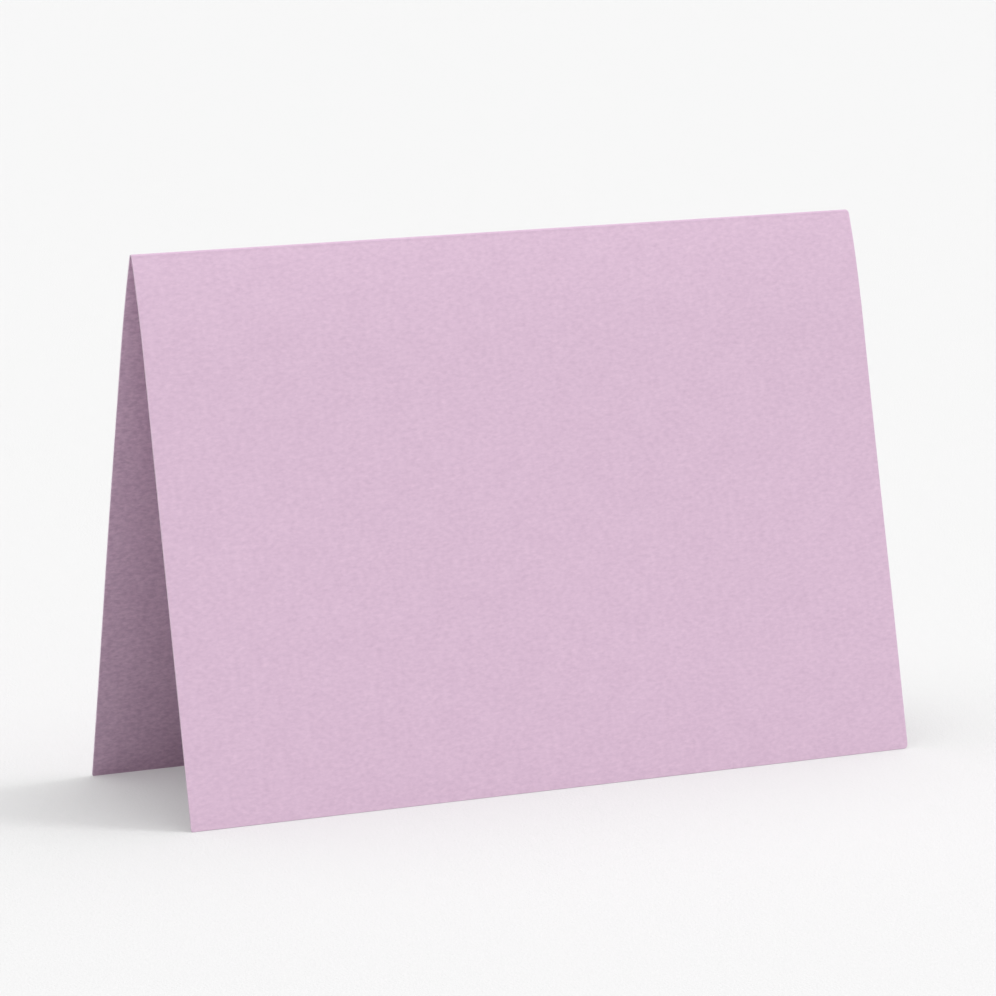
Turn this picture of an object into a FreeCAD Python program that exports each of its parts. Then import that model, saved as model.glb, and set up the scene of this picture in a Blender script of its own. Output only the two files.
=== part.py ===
import FreeCAD, Part

import math
import os

import Sketcher
from FreeCAD import Vector

os.makedirs("parts", exist_ok=True)

# A blank greeting card: one sheet of card stock folded once across its middle, opened like a tent and
# stood on its two cut edges, with the crease on top.
# X runs along the crease, the front panel faces -Y, +Z is up.
# The origin is on the table, below the middle of the crease.
# Lengths are in millimetres and angles in degrees.

doc = FreeCAD.newDocument("greeting_card")

# Driving sizes
SIZES = [
    ("card_width", "210", "along the crease"),
    ("panel_depth", "148", "crease to cut edge, on the flat sheet"),
    ("stock_thickness", "0.45", "thickness of the card stock"),
    ("crease_radius", "0.4", "radius inside the fold"),
    ("opened_angle", "25.8", "between the flat stretches of the two panels"),
    ("curl_length", "30", "stretch beside the crease over which a panel still bends"),
    ("curl_angle", "6.2", "turn of a panel over that stretch"),
    ("cut_corner_radius", "0.4", "three sharp-cut corners of the sheet"),
    ("blunt_corner_radius", "1.2", "the blunted corner, front right"),
]

sheet = doc.addObject("Spreadsheet::Sheet", "sizes")
for row, (alias, value, meaning) in enumerate(SIZES, start=1):
    sheet.set(f"A{row}", alias)
    sheet.set(f"B{row}", value)
    sheet.set(f"C{row}", meaning)
    sheet.setAlias(f"B{row}", alias)
doc.recompute()


def size(alias):
    """Value of a driving size."""
    return float(sheet.get(alias))


# Two lengths or places closer than this are the same
CLOSE = 0.001

# Expressions that bind the section to the driving sizes
LEAN = "sizes.opened_angle / 2"
STEEP = "sizes.opened_angle / 2 + sizes.curl_angle"
CREASE_OUTSIDE = "sizes.crease_radius + sizes.stock_thickness"
CURL_OUTSIDE = "sizes.curl_length / (sizes.curl_angle * pi / 180) + sizes.stock_thickness / 2"
CREASE_LENGTH = "(sizes.crease_radius + sizes.stock_thickness / 2) * (90 - ({})) * pi / 180".format(STEEP)
FLAT_LENGTH = "sizes.panel_depth - sizes.curl_length - {}".format(CREASE_LENGTH)


def origin_plane(body, role):
    """The body's own origin plane with this role."""
    return next(plane for plane in body.Origin.OriginFeatures if plane.Role == role)


def along(angle):
    """Unit vector in the sketch at this angle from its horizontal axis, in radians."""
    return Vector(math.cos(angle), math.sin(angle), 0)


# The folded card
card = doc.addObject("PartDesign::Body", "folded_card")
card.Label = "folded_card"

# Half of the end view: crease, curling stretch and flat stretch of the back panel, at full thickness.
# The sketch's horizontal is the card's Y, and its vertical is Z.
half = card.newObject("Sketcher::SketchObject", "half_section")
half.AttachmentSupport = [(origin_plane(card, "YZ_Plane"), "")]
half.MapMode = "FlatFace"

lean = math.radians(size("opened_angle") / 2)
steep = lean + math.radians(size("curl_angle"))
thickness = size("stock_thickness")
crease_inside = size("crease_radius")
crease_outside = crease_inside + thickness
curl_middle = size("curl_length") / math.radians(size("curl_angle"))
curl_inside = curl_middle - thickness / 2
curl_outside = curl_middle + thickness / 2
crease_length = (crease_inside + thickness / 2) * (math.pi / 2 - steep)
flat_length = size("panel_depth") - size("curl_length") - crease_length

down_panel = Vector(math.sin(lean), -math.cos(lean), 0)
curl_from_crease = along(steep) * (crease_inside - curl_inside)
foot_from_crease = curl_from_crease + along(lean) * curl_inside + down_panel * flat_length
crease_centre = Vector(0, -foot_from_crease.y, 0)
curl_centre = crease_centre + curl_from_crease
foot_inside = crease_centre + foot_from_crease
foot_outside = foot_inside + along(lean) * thickness
bend_inside = curl_centre + along(lean) * curl_inside
bend_outside = curl_centre + along(lean) * curl_outside
top_inside = crease_centre + Vector(0, crease_inside, 0)
top_outside = crease_centre + Vector(0, crease_outside, 0)


def arc(centre, radius, start_angle, end_angle):
    """Arc of a circle in the sketch plane."""
    return Part.ArcOfCircle(Part.Circle(centre, Vector(0, 0, 1), radius), start_angle, end_angle)


outer_crease = half.addGeometry(arc(crease_centre, crease_outside, steep, math.pi / 2))
outer_curl = half.addGeometry(arc(curl_centre, curl_outside, lean, steep))
outer_flat = half.addGeometry(Part.LineSegment(bend_outside, foot_outside))
cut_edge = half.addGeometry(Part.LineSegment(foot_inside, foot_outside))
inner_flat = half.addGeometry(Part.LineSegment(foot_inside, bend_inside))
inner_curl = half.addGeometry(arc(curl_centre, curl_inside, lean, steep))
inner_crease = half.addGeometry(arc(crease_centre, crease_inside, steep, math.pi / 2))
mid_crease = half.addGeometry(Part.LineSegment(top_inside, top_outside))
steep_line = half.addGeometry(
    Part.LineSegment(crease_centre, crease_centre + along(steep) * crease_outside), True)

# Points of a sketch element, and the sketch's own axes
START, END, CENTRE = range(1, 4)
HORIZONTAL_AXIS, VERTICAL_AXIS = range(-1, -3, -1)


def constrain(kind, *elements):
    """Add one constraint to the half section."""
    return half.addConstraint(Sketcher.Constraint(kind, *elements))


def drive(name, kind, elements, value, expression):
    """Add one dimension to the half section and bind it to the driving sizes."""
    index = constrain(kind, *elements, value)
    half.renameConstraint(index, name)
    half.setExpression("Constraints." + name, expression)


# The outline is one smooth chain: crease, curl and flat stretch run into each other.
constrain("Tangent", outer_crease, START, outer_curl, END)
constrain("Tangent", outer_curl, START, outer_flat, START)
constrain("Coincident", outer_flat, END, cut_edge, END)
constrain("Coincident", cut_edge, START, inner_flat, START)
constrain("Tangent", inner_flat, END, inner_curl, START)
constrain("Tangent", inner_curl, END, inner_crease, START)
constrain("Coincident", inner_crease, END, mid_crease, START)
constrain("Coincident", mid_crease, END, outer_crease, END)

# Both faces of the stock bend about the same centres, and the sheet is cut square to its faces.
constrain("Coincident", outer_crease, CENTRE, inner_crease, CENTRE)
constrain("Coincident", outer_curl, CENTRE, inner_curl, CENTRE)
constrain("Perpendicular", outer_flat, cut_edge)
constrain("Perpendicular", inner_flat, cut_edge)

# The crease lies above the origin, and the inner arris of the cut edge stands on the table.
constrain("PointOnObject", outer_crease, CENTRE, VERTICAL_AXIS)
constrain("PointOnObject", outer_crease, END, VERTICAL_AXIS)
constrain("PointOnObject", inner_crease, END, VERTICAL_AXIS)
constrain("PointOnObject", cut_edge, START, HORIZONTAL_AXIS)
constrain("Coincident", steep_line, START, outer_crease, CENTRE)
constrain("Coincident", steep_line, END, outer_crease, START)

drive("crease_inside", "Radius", [inner_crease], crease_inside, "sizes.crease_radius")
drive("crease_outside", "Radius", [outer_crease], crease_outside, CREASE_OUTSIDE)
drive("curl_outside", "Radius", [outer_curl], curl_outside, CURL_OUTSIDE)
drive("flat_length", "Distance", [outer_flat], flat_length, FLAT_LENGTH)
drive("lean", "Angle", [cut_edge], lean, LEAN)
drive("steep", "Angle", [steep_line], steep, STEEP)

# Back half of the card, the width of the sheet
back_half = card.newObject("PartDesign::Pad", "back_half")
back_half.Profile = half
back_half.SideType = "Symmetric"
back_half.setExpression("Length", "sizes.card_width")
doc.recompute()

# The front half is the mirror image of the back half, joined to it along the crease.
front_half = card.newObject("PartDesign::Mirrored", "front_half")
front_half.Originals = [back_half]
front_half.MirrorPlane = (origin_plane(card, "XZ_Plane"), [""])
front_half.Refine = True
card.Tip = front_half
doc.recompute()


def corner_edges(shape, keep):
    """Names of the edges through the stock at the sheet's corners that keep() accepts."""
    names = []
    for number, edge in enumerate(shape.Edges, start=1):
        middle = edge.CenterOfMass
        at_end = abs(abs(middle.x) - size("card_width") / 2) < CLOSE
        at_foot = middle.z < thickness
        through_stock = abs(edge.Length - thickness) < CLOSE
        if at_end and at_foot and through_stock and keep(middle):
            names.append("Edge{}".format(number))
    return names


def is_front_right(point):
    """True at the corner that handling has blunted."""
    return point.x > 0 and point.y < 0


def is_sharp_cut(point):
    """True at the other three corners."""
    return not is_front_right(point)


def round_corners(name, keep, radius):
    """Round the sheet's corners that keep() accepts, by the driving size named radius."""
    base = card.Tip
    fillet = card.newObject("PartDesign::Fillet", name)
    fillet.Base = (base, corner_edges(base.Shape, keep))
    fillet.setExpression("Radius", "sizes." + radius)
    card.Tip = fillet
    doc.recompute()


round_corners("cut_corners", is_sharp_cut, "cut_corner_radius")
round_corners("blunt_corner", is_front_right, "blunt_corner_radius")

# Check the document, then write the sheet.
for item in doc.Objects:
    if "Invalid" in item.State or "Error" in item.State:
        raise RuntimeError("{} did not compute: {}".format(item.Name, item.State))
if not half.FullyConstrained:
    raise RuntimeError("half_section is not fully constrained")
if card.Shape.isNull() or not card.Shape.isValid() or len(card.Shape.Solids) != 1:
    raise RuntimeError("folded_card is not one valid solid")
card.Shape.exportStep("parts/" + card.Label + ".step")

box = card.Shape.BoundBox
print("box {:.2f} x {:.2f} x {:.2f} mm, from Z {:.3f} mm".format(
    box.XLength, box.YLength, box.ZLength, box.ZMin))
print("volume {:.1f} mm3".format(card.Shape.Volume))
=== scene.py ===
import math

import bmesh
import bpy
from mathutils import Matrix, Vector


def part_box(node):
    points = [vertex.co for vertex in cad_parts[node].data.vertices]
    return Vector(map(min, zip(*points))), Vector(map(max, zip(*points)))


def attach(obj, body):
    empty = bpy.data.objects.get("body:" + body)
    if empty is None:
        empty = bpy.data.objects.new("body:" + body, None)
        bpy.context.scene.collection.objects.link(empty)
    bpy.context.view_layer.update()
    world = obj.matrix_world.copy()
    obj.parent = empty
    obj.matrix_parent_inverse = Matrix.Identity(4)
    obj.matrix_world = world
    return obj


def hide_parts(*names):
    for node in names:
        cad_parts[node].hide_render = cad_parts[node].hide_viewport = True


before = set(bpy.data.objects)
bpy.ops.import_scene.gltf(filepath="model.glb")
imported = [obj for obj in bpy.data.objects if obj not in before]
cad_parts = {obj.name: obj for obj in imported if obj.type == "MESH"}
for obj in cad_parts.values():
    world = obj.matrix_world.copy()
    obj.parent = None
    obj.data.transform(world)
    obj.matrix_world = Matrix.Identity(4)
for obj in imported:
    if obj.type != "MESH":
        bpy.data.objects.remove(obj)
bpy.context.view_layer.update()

# A blank greeting card: one sheet of lilac card stock folded once and stood like a tent.
# Metres, in the frame's axes: X along the crease, the front panel towards -Y, +Z up.
MM = 0.001

# The sheet, as in the part's source
PANEL_DEPTH = 148 * MM
THICKNESS = 0.45 * MM
CREASE_INSIDE = 0.4 * MM
OPENED = math.radians(25.8)
CURL_LENGTH = 30 * MM
CURL = math.radians(6.2)
CUT_CORNER = 0.4 * MM
BLUNT_CORNER = 1.2 * MM

# What cutting, drying and handling add to it
EASED_ARRIS = 0.05 * MM
SWAY = 0.22 * MM
LONG_WAVE = 190 * MM
SHORT_WAVE = 83 * MM
WORN_CREASE_END = 0.8 * MM

# Lines across the flat sheet, close together where it bends most. Those near its ends lie at these shares of
# the worn length.
CREASE_LINES = 12
CURL_LINES = 8
FLAT_LINES = 22
CROSS_LINES = 42
END_LINES = (0.1, 0.25, 0.45, 0.7, 1, 1.6)
CORNER_STEPS = 8

# Faces that meet at less than this are shaded as one
SMOOTH_UP_TO = math.radians(15)

# Grain of the stock. Plain sizes are in millimetres: along the crease, down the panel and through the stock.
CLOUD = 8
FELT_SPOT = (1.6, 1.1, 1)
FIBRE = (2.4, 0.6, 1)
FIBRE_WANDER = (0.9, 0.9, 0)
FIBRE_TURNS = (-9, 15)
TOOTH = 0.4
TOOTH_DEPTH = 0.006 * MM
# How far the painted shade along the crease reaches to each side of it
CREASE_SHADE_REACH = 1.4 * MM

# The sheet's two faces lie this far apart in the grain, so that they differ.
FACES_APART = 40 * MM

# Streaks on the cut edge
STREAK_LENGTH = 1.2 * MM
STREAK_DEPTH = 0.03 * MM
PLIES = 6

# The camera, from the photograph
PHOTO_SIDE = 996
FOCAL_PIXELS = 4909.5
SENSOR = 36
CAMERA_AZIMUTH = math.radians(-25.589)
CAMERA_ELEVATION = math.radians(10.066)
CAMERA_ROLL = math.radians(-0.301)
CAMERA_DISTANCE = 1309.1 * MM
CAMERA_TARGET = Vector((-1.4, 0, 72.3)) * MM

# The lamps. Light of level 1 from everywhere would show a colour as it is written.
TO_LIGHT = Vector((0.468, -0.170, 0.867))
KEY_LEVEL = 0.23
KEY_ANGLE = math.radians(12)
FILL_LEVEL = 0.545
FILL_TO_RIGHT = 0.34

# The softbox overhead begins at one height in the sky and is full at the next, 1 being straight up.
SOFTBOX_LEVEL = 1.50
SOFTBOX_FROM = 0.68
SOFTBOX_FULL = 0.8

# The floor and the background
BACKGROUND_LEVEL = 0.94
FLOOR_WHITENING = 0.2
FLOOR_HALF = 15
FLOOR_GRAIN = 0.8 * MM
FLOOR_GRAIN_DEPTH = 0.14 * MM


def srgb(code):
    """Linear colour of an sRGB hex value."""
    parts = [int(code[i:i + 2], 16) / 255 for i in (1, 3, 5)]
    return [c / 12.92 if c <= 0.04045 else ((c + 0.055) / 1.055) ** 2.4 for c in parts] + [1]


def add(material, kind, inputs=None, **settings):
    """Add a shader node to a material or world, with its settings, values and links."""
    tree = material.node_tree
    new = tree.nodes.new(kind)
    for name, value in settings.items():
        setattr(new, name, value)
    for name, value in (inputs or {}).items():
        if isinstance(value, bpy.types.NodeSocket):
            tree.links.new(value, new.inputs[name])
        else:
            new.inputs[name].default_value = value
    return new


def blank_material(name):
    """A node material with nothing in it."""
    material = bpy.data.materials.new(name)
    material.use_nodes = True
    material.node_tree.nodes.clear()
    return material


# Shape of the fold. A place on the flat sheet is a distance from the crease, negative on the front panel,
# and a height above the middle of the stock.
LEAN = OPENED / 2
STEEP = LEAN + CURL
CREASE_MIDDLE = CREASE_INSIDE + THICKNESS / 2
CREASE_STRETCH = CREASE_MIDDLE * (math.pi / 2 - STEEP)
CURL_RADIUS = CURL_LENGTH / CURL


def facing(angle):
    """Unit vector in the end view, from the horizontal."""
    return Vector((math.cos(angle), math.sin(angle)))


def folded(distance, height):
    """Y and Z, from the crease's centre, of a place on the flat sheet."""
    along = abs(distance)
    curl_centre = facing(STEEP) * (CREASE_MIDDLE - CURL_RADIUS)
    if along < CREASE_STRETCH:
        place = facing(math.pi / 2 - along / CREASE_MIDDLE) * (CREASE_MIDDLE + height)
    elif along < CREASE_STRETCH + CURL_LENGTH:
        angle = STEEP - (along - CREASE_STRETCH) / CURL_RADIUS
        place = curl_centre + facing(angle) * (CURL_RADIUS + height)
    else:
        down = Vector((math.sin(LEAN), -math.cos(LEAN)))
        place = curl_centre + facing(LEAN) * (CURL_RADIUS + height)
        place += down * (along - CREASE_STRETCH - CURL_LENGTH)
    return Vector((math.copysign(place.x, distance), place.y))


def sway(x, distance):
    """How far card stock strays from a true bend: soft waves that die out at the crease and the cut edge.

    Each panel starts its long wave at its own place.
    """
    share = abs(distance) / PANEL_DEPTH
    hold = math.sin(math.pi * min(share, 1)) ** 2
    start = 0.5 if distance > 0 else 0.1
    turn = 2 * math.pi
    long_wave = math.sin(turn * (x / LONG_WAVE + 0.6 * share + start))
    short_wave = math.sin(turn * (x / SHORT_WAVE - share))
    return SWAY * hold * (long_wave + 0.4 * short_wave)


def steps(start, stop, count):
    """Evenly spaced places between two ends, the last one included."""
    return [start + (stop - start) * (i + 1) / count for i in range(count)]


def slice_sheet(bm, place, normal):
    """Cut a line across the flat sheet, so that it can bend there."""
    bmesh.ops.bisect_plane(bm, geom=bm.verts[:] + bm.edges[:] + bm.faces[:], dist=1e-7,
                           plane_co=place, plane_no=normal)


def flat_sheet(width):
    """The sheet as it is cut: rounded corners, a line wherever it will bend, and a thickness."""
    bm = bmesh.new()
    bmesh.ops.create_grid(bm, x_segments=1, y_segments=1, size=0.5)
    bmesh.ops.scale(bm, vec=(width, 2 * PANEL_DEPTH, 1), verts=bm.verts)
    for corner in list(bm.verts):
        blunt = corner.co.x > 0 and corner.co.y < 0
        bmesh.ops.bevel(bm, geom=[corner], offset=BLUNT_CORNER if blunt else CUT_CORNER,
                        offset_type="OFFSET", segments=CORNER_STEPS, profile=0.5, affect="VERTICES",
                        material=-1)
    half = steps(0, CREASE_STRETCH, CREASE_LINES)
    half += steps(half[-1], half[-1] + CURL_LENGTH, CURL_LINES)
    half += steps(half[-1], PANEL_DEPTH, FLAT_LINES)[:-1]
    for distance in [0] + half + [-place for place in half]:
        slice_sheet(bm, (0, distance, 0), (0, 1, 0))
    ends = [width / 2 - WORN_CREASE_END * share for share in END_LINES]
    for x in steps(-width / 2, width / 2, CROSS_LINES)[:-1] + ends + [-place for place in ends]:
        slice_sheet(bm, (x, 0, 0), (1, 0, 0))
    bmesh.ops.solidify(bm, geom=bm.faces[:], thickness=THICKNESS)
    bmesh.ops.recalc_face_normals(bm, faces=bm.faces)
    middle = sum(vert.co.z for vert in bm.verts) / len(bm.verts)
    bmesh.ops.translate(bm, vec=(0, 0, -middle), verts=bm.verts)
    return bm


def is_cut(face):
    """True on a cut edge of the flat sheet, where the face stands upright."""
    return abs(face.normal.z) < 0.5


def wear_crease_end(bm, width):
    """Blunt the right end of the crease, where a folded card gets knocked."""
    reach = 6 * CREASE_MIDDLE
    for vert in bm.verts:
        past = vert.co.x - (width / 2 - WORN_CREASE_END)
        near = 1 - min(abs(vert.co.y) / reach, 1)
        if past > 0 and vert.co.z > -reach:
            drop = WORN_CREASE_END - math.sqrt(max(WORN_CREASE_END ** 2 - past ** 2, 0))
            vert.co.z -= drop * near


def make_card():
    """The folded card, in place, with the flat sheet kept as its UV map."""
    low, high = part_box("folded_card")
    width = high.x - low.x
    bm = flat_sheet(width)

    # Cut edges take the mesh's second material, and the blade eases their arrises.
    for face in bm.faces:
        if is_cut(face):
            face.material_index = 1
    arrises = [edge for edge in bm.edges if len({is_cut(face) for face in edge.link_faces}) == 2]
    bmesh.ops.bevel(bm, geom=arrises, offset=EASED_ARRIS, offset_type="OFFSET", segments=2,
                    profile=0.5, affect="EDGES", material=-1)

    # The materials read places on the flat sheet, and a share through it that is 1 on the card's outside.
    uv = bm.loops.layers.uv.new("flat_sheet")
    through = bm.verts.layers.float.new("through")
    for vert in bm.verts:
        vert[through] = vert.co.z / THICKNESS + 0.5
        for loop in vert.link_loops:
            loop[uv].uv = (vert.co.x + width / 2, vert.co.y + PANEL_DEPTH)

    # Fold
    for vert in bm.verts:
        x, distance, height = vert.co
        y, z = folded(distance, height + sway(x, distance))
        vert.co = (x, y, z)
    wear_crease_end(bm, width)
    foot = min(vert.co.z for vert in bm.verts)
    bmesh.ops.translate(bm, vec=(0, 0, low.z - foot), verts=bm.verts)
    for edge in bm.edges:
        edge.smooth = edge.calc_face_angle(0) < SMOOTH_UP_TO
    for face in bm.faces:
        face.smooth = True

    mesh = bpy.data.meshes.new("card")
    bm.to_mesh(mesh)
    bm.free()
    mesh.materials.append(card_stock())
    mesh.materials.append(cut_edge())
    card = bpy.data.objects.new("card", mesh)
    bpy.context.collection.objects.link(card)
    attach(card, "root")
    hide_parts("folded_card")


def card_stock():
    """Uncoated card dyed in the pulp, with a soft felt finish.

    The eye gets an even, chalky lilac with a fine grain of short fibres lying along the crease, stronger on
    the inside of the card, and no gloss.
    """
    material = blank_material("uncoated_lilac_card")
    sheet_place = add(material, "ShaderNodeUVMap", uv_map="flat_sheet").outputs["UV"]
    flat = add(material, "ShaderNodeSeparateXYZ", {0: sheet_place}).outputs
    through = add(material, "ShaderNodeAttribute", attribute_name="through").outputs["Fac"]
    side = add(material, "ShaderNodeMath", {0: through, 1: FACES_APART}, operation="MULTIPLY")
    place = add(material, "ShaderNodeCombineXYZ", {"X": flat["X"], "Y": flat["Y"], "Z": side.outputs[0]})
    in_mm = add(material, "ShaderNodeVectorMath", {0: place.outputs["Vector"], "Scale": 1 / MM},
                operation="SCALE").outputs["Vector"]

    # Pulp settles in faint clouds, and the felt presses in a finer mottle.
    clouds = add(material, "ShaderNodeTexNoise", {"Vector": in_mm, "Scale": 1 / CLOUD, "Detail": 1})
    pressed = add(material, "ShaderNodeMapping", {"Vector": in_mm, "Scale": FELT_SPOT}, vector_type="TEXTURE")
    felt = add(material, "ShaderNodeTexNoise", {
        "Vector": pressed.outputs["Vector"], "Scale": 1, "Detail": 2, "Roughness": 0.55}).outputs

    # Fibres lie at two angles to the crease and wander. One alone is too fine to show, so each streak is
    # drawn as wide as a bunch of them.
    bent = add(material, "ShaderNodeVectorMath", {0: felt["Color"], 1: (0.5, 0.5, 0.5)}, operation="SUBTRACT")
    wandering = add(material, "ShaderNodeVectorMath", {
        0: bent.outputs["Vector"], 1: FIBRE_WANDER, 2: in_mm}, operation="MULTIPLY_ADD").outputs["Vector"]
    layers = []
    for turn in FIBRE_TURNS:
        laid = add(material, "ShaderNodeMapping", {
            "Vector": wandering, "Rotation": (0, 0, math.radians(turn)), "Scale": FIBRE},
            vector_type="TEXTURE").outputs["Vector"]
        layer = add(material, "ShaderNodeTexNoise", {"Vector": laid, "Scale": 1, "Detail": 1})
        layers.append(layer.outputs["Fac"])
    fibres = add(material, "ShaderNodeMath", {0: layers[0], 1: layers[1]}, operation="ADD").outputs[0]

    # Clouds, felt and fibres make one grain around 0, so their mean of 1.02 is taken off. It is stronger on
    # the inside of the card, which is the sheet's wire side, and runs from a darker lilac to a paler one.
    grain = add(material, "ShaderNodeMath", {0: clouds.outputs["Fac"], 1: 0.25, 2: -1.02},
                operation="MULTIPLY_ADD").outputs[0]
    grain = add(material, "ShaderNodeMath", {0: felt["Fac"], 1: 0.95, 2: grain},
                operation="MULTIPLY_ADD").outputs[0]
    grain = add(material, "ShaderNodeMath", {0: fibres, 1: 0.42, 2: grain},
                operation="MULTIPLY_ADD").outputs[0]
    contrast = add(material, "ShaderNodeMapRange", {"Value": through, "To Min": 2.4, "To Max": 1})
    tone = add(material, "ShaderNodeMath", {0: grain, 1: contrast.outputs["Result"], 2: 0.5},
               operation="MULTIPLY_ADD").outputs[0]
    lilac = add(material, "ShaderNodeMix", {0: tone, 6: srgb("#CFB0C9"), 7: srgb("#E6C9DE")},
                data_type="RGBA").outputs[2]

    # Painted shade along the crease: its top is taken a shade darker, to damp the highlight that the light
    # overhead puts on the curve of the fold.
    from_crease = add(material, "ShaderNodeMath", {0: flat["Y"], 1: PANEL_DEPTH}, operation="SUBTRACT")
    from_crease = add(material, "ShaderNodeMath", {0: from_crease.outputs[0]}, operation="ABSOLUTE")
    painted_crease_shade = add(material, "ShaderNodeMapRange", {
        "Value": from_crease.outputs[0], "From Max": CREASE_SHADE_REACH, "To Min": 0.48, "To Max": 0},
        interpolation_type="SMOOTHSTEP").outputs["Result"]
    colour = add(material, "ShaderNodeMix", {0: painted_crease_shade, 6: lilac, 7: srgb("#B496AE")},
                 data_type="RGBA").outputs[2]

    # Tooth of an uncoated sheet
    tooth = add(material, "ShaderNodeTexNoise", {"Vector": in_mm, "Scale": 1 / TOOTH, "Detail": 2})
    relief = add(material, "ShaderNodeMath", {0: fibres, 1: 0.8, 2: tooth.outputs["Fac"]},
                 operation="MULTIPLY_ADD").outputs[0]
    bump = add(material, "ShaderNodeBump", {"Height": relief, "Strength": 1, "Distance": TOOTH_DEPTH})
    rough = add(material, "ShaderNodeMapRange", {"Value": felt["Fac"], "To Min": 0.82, "To Max": 0.96})
    shader = add(material, "ShaderNodeBsdfPrincipled", {
        "Base Color": colour, "Roughness": rough.outputs["Result"], "Normal": bump.outputs["Normal"],
        "Specular IOR Level": 0.3})
    add(material, "ShaderNodeOutputMaterial", {"Surface": shader.outputs["BSDF"]})
    return material


def cut_edge():
    """The same card where a guillotine cut it.

    The eye gets a slightly paler, furry line with streaks where the plies of fibre end.
    """
    material = blank_material("guillotined_card_edge")
    sheet_place = add(material, "ShaderNodeUVMap", uv_map="flat_sheet").outputs["UV"]
    flat = add(material, "ShaderNodeSeparateXYZ", {0: sheet_place}).outputs
    along = add(material, "ShaderNodeMath", {0: flat["X"], 1: flat["Y"]}, operation="ADD").outputs[0]
    through = add(material, "ShaderNodeAttribute", attribute_name="through").outputs["Fac"]

    run = add(material, "ShaderNodeMath", {0: along, 1: 1 / STREAK_LENGTH}, operation="MULTIPLY")
    ply = add(material, "ShaderNodeMath", {0: through, 1: PLIES}, operation="MULTIPLY")
    place = add(material, "ShaderNodeCombineXYZ", {"X": run.outputs[0], "Y": ply.outputs[0]})
    streaks = add(material, "ShaderNodeTexNoise", {
        "Vector": place.outputs["Vector"], "Scale": 1, "Detail": 3, "Roughness": 0.6}).outputs["Fac"]
    colour = add(material, "ShaderNodeMix", {0: streaks, 6: srgb("#DFC6DA"), 7: srgb("#F0DFEC")},
                 data_type="RGBA").outputs[2]
    bump = add(material, "ShaderNodeBump", {"Height": streaks, "Strength": 1, "Distance": STREAK_DEPTH})
    shader = add(material, "ShaderNodeBsdfPrincipled", {
        "Base Color": colour, "Normal": bump.outputs["Normal"], "Roughness": 0.95,
        "Specular IOR Level": 0.2})
    add(material, "ShaderNodeOutputMaterial", {"Surface": shader.outputs["BSDF"]})
    return material


def seen(material):
    """1 where the surroundings are seen, straight or in gloss or glass, and 0 where they only give light."""
    rays = add(material, "ShaderNodeLightPath").outputs
    seen_or_mirrored = add(material, "ShaderNodeMath", {0: rays["Is Camera Ray"], 1: rays["Is Glossy Ray"]},
                           operation="ADD").outputs[0]
    return add(material, "ShaderNodeMath", {0: seen_or_mirrored, 1: rays["Is Transmission Ray"]},
               operation="ADD").outputs[0]


def studio_floor():
    """Matt pale grey studio floor with a fine plaster grain.

    Under the lamps it looks white. A share of plain white keeps the card's shadow soft and open.
    """
    material = blank_material("matt_white_floor")
    place = add(material, "ShaderNodeTexCoord").outputs["Object"]
    grain = add(material, "ShaderNodeTexNoise", {"Vector": place, "Scale": 1 / FLOOR_GRAIN, "Detail": 2})
    bump = add(material, "ShaderNodeBump", {
        "Height": grain.outputs["Fac"], "Strength": 1, "Distance": FLOOR_GRAIN_DEPTH})
    shader = add(material, "ShaderNodeBsdfPrincipled", {
        "Base Color": srgb("#D5D5D5"), "Roughness": 0.9, "Specular IOR Level": 0.1,
        "Normal": bump.outputs["Normal"]})
    white = add(material, "ShaderNodeEmission", {"Color": (1, 1, 1, 1), "Strength": BACKGROUND_LEVEL})
    share = add(material, "ShaderNodeMath", {0: seen(material), 1: FLOOR_WHITENING}, operation="MULTIPLY")
    mixed = add(material, "ShaderNodeMixShader", {
        0: share.outputs[0], 1: shader.outputs["BSDF"], 2: white.outputs["Emission"]})
    add(material, "ShaderNodeOutputMaterial", {"Surface": mixed.outputs["Shader"]})
    material.cycles.emission_sampling = "NONE"
    return material


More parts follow.
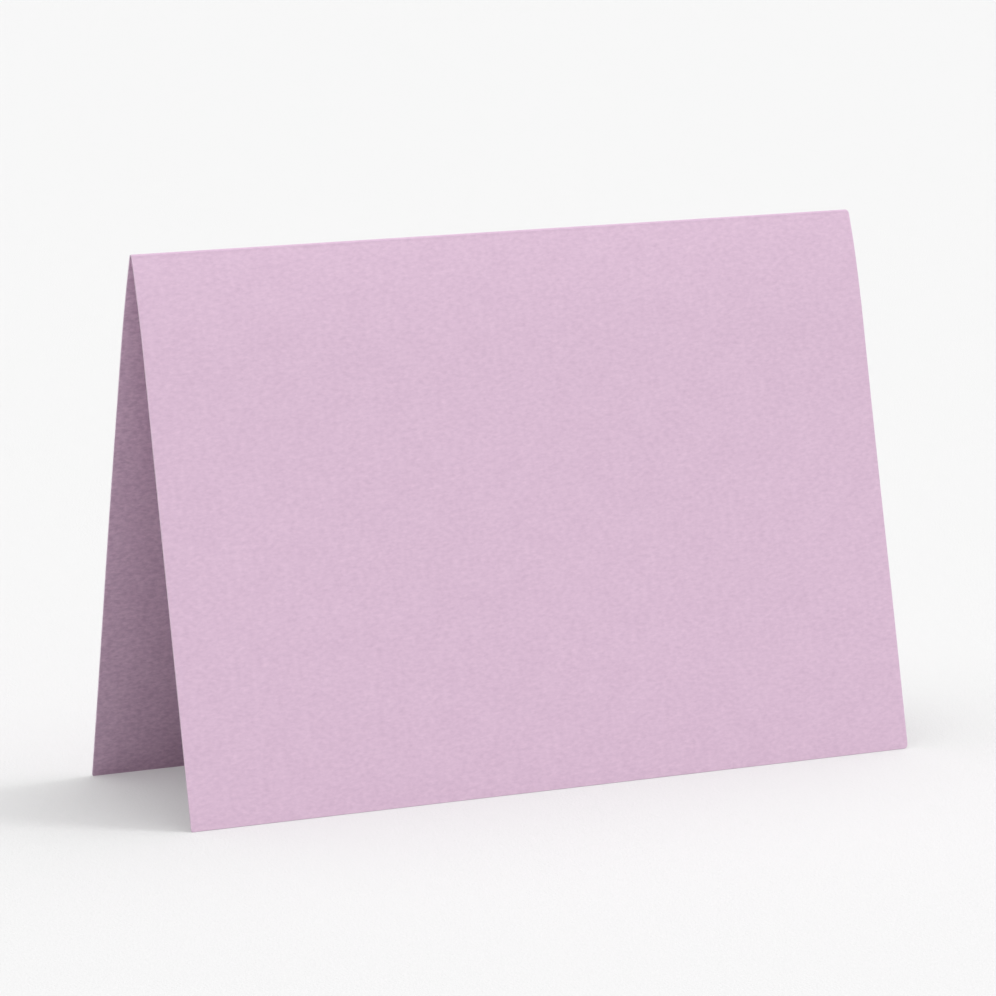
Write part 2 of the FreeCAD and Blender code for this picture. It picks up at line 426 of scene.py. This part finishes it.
def make_stage():
    """Floor, a key light from the upper right, and white surroundings brighter overhead and to the right."""
    bm = bmesh.new()
    bmesh.ops.create_grid(bm, x_segments=1, y_segments=1, size=FLOOR_HALF)
    mesh = bpy.data.meshes.new("floor")
    bm.to_mesh(mesh)
    bm.free()
    mesh.materials.append(studio_floor())
    floor = bpy.data.objects.new("floor", mesh)
    bpy.context.collection.objects.link(floor)

    sun = bpy.data.lights.new("key", "SUN")
    sun.energy = KEY_LEVEL * math.pi
    sun.angle = KEY_ANGLE
    key = bpy.data.objects.new("key", sun)
    key.rotation_euler = TO_LIGHT.to_track_quat("Z", "Y").to_euler()
    bpy.context.collection.objects.link(key)

    world = bpy.data.worlds.new("white_studio")
    world.use_nodes = True
    world.node_tree.nodes.clear()
    direction = add(world, "ShaderNodeTexCoord").outputs["Generated"]
    direction = add(world, "ShaderNodeSeparateXYZ", {0: direction}).outputs
    fill = add(world, "ShaderNodeMath", {0: direction["X"], 1: FILL_TO_RIGHT, 2: FILL_LEVEL},
               operation="MULTIPLY_ADD")
    softbox = add(world, "ShaderNodeMapRange", {
        "Value": direction["Z"], "From Min": SOFTBOX_FROM, "From Max": SOFTBOX_FULL,
        "To Max": SOFTBOX_LEVEL}, interpolation_type="SMOOTHSTEP")
    fill = add(world, "ShaderNodeMath", {0: fill.outputs[0], 1: softbox.outputs["Result"]}, operation="ADD")
    level = add(world, "ShaderNodeMix", {0: seen(world), 2: fill.outputs[0], 3: BACKGROUND_LEVEL})
    light = add(world, "ShaderNodeBackground", {"Color": (1, 1, 1, 1), "Strength": level.outputs[0]})
    add(world, "ShaderNodeOutputWorld", {"Surface": light.outputs["Background"]})
    bpy.context.scene.world = world


def make_camera():
    """The photograph's camera."""
    data = bpy.data.cameras.new("camera")
    data.sensor_width = SENSOR
    data.lens = SENSOR * FOCAL_PIXELS / PHOTO_SIDE
    camera = bpy.data.objects.new("camera", data)
    azimuth = Matrix.Rotation(CAMERA_AZIMUTH, 4, "Z")
    elevation = Matrix.Rotation(math.pi / 2 - CAMERA_ELEVATION, 4, "X")
    roll = Matrix.Rotation(CAMERA_ROLL, 4, "Z")
    back = Matrix.Translation((0, 0, CAMERA_DISTANCE))
    camera.matrix_world = Matrix.Translation(CAMERA_TARGET) @ azimuth @ elevation @ roll @ back
    bpy.context.collection.objects.link(camera)
    bpy.context.scene.camera = camera


make_camera()
make_stage()
make_card()
bpy.context.scene.view_settings.view_transform = "Standard"
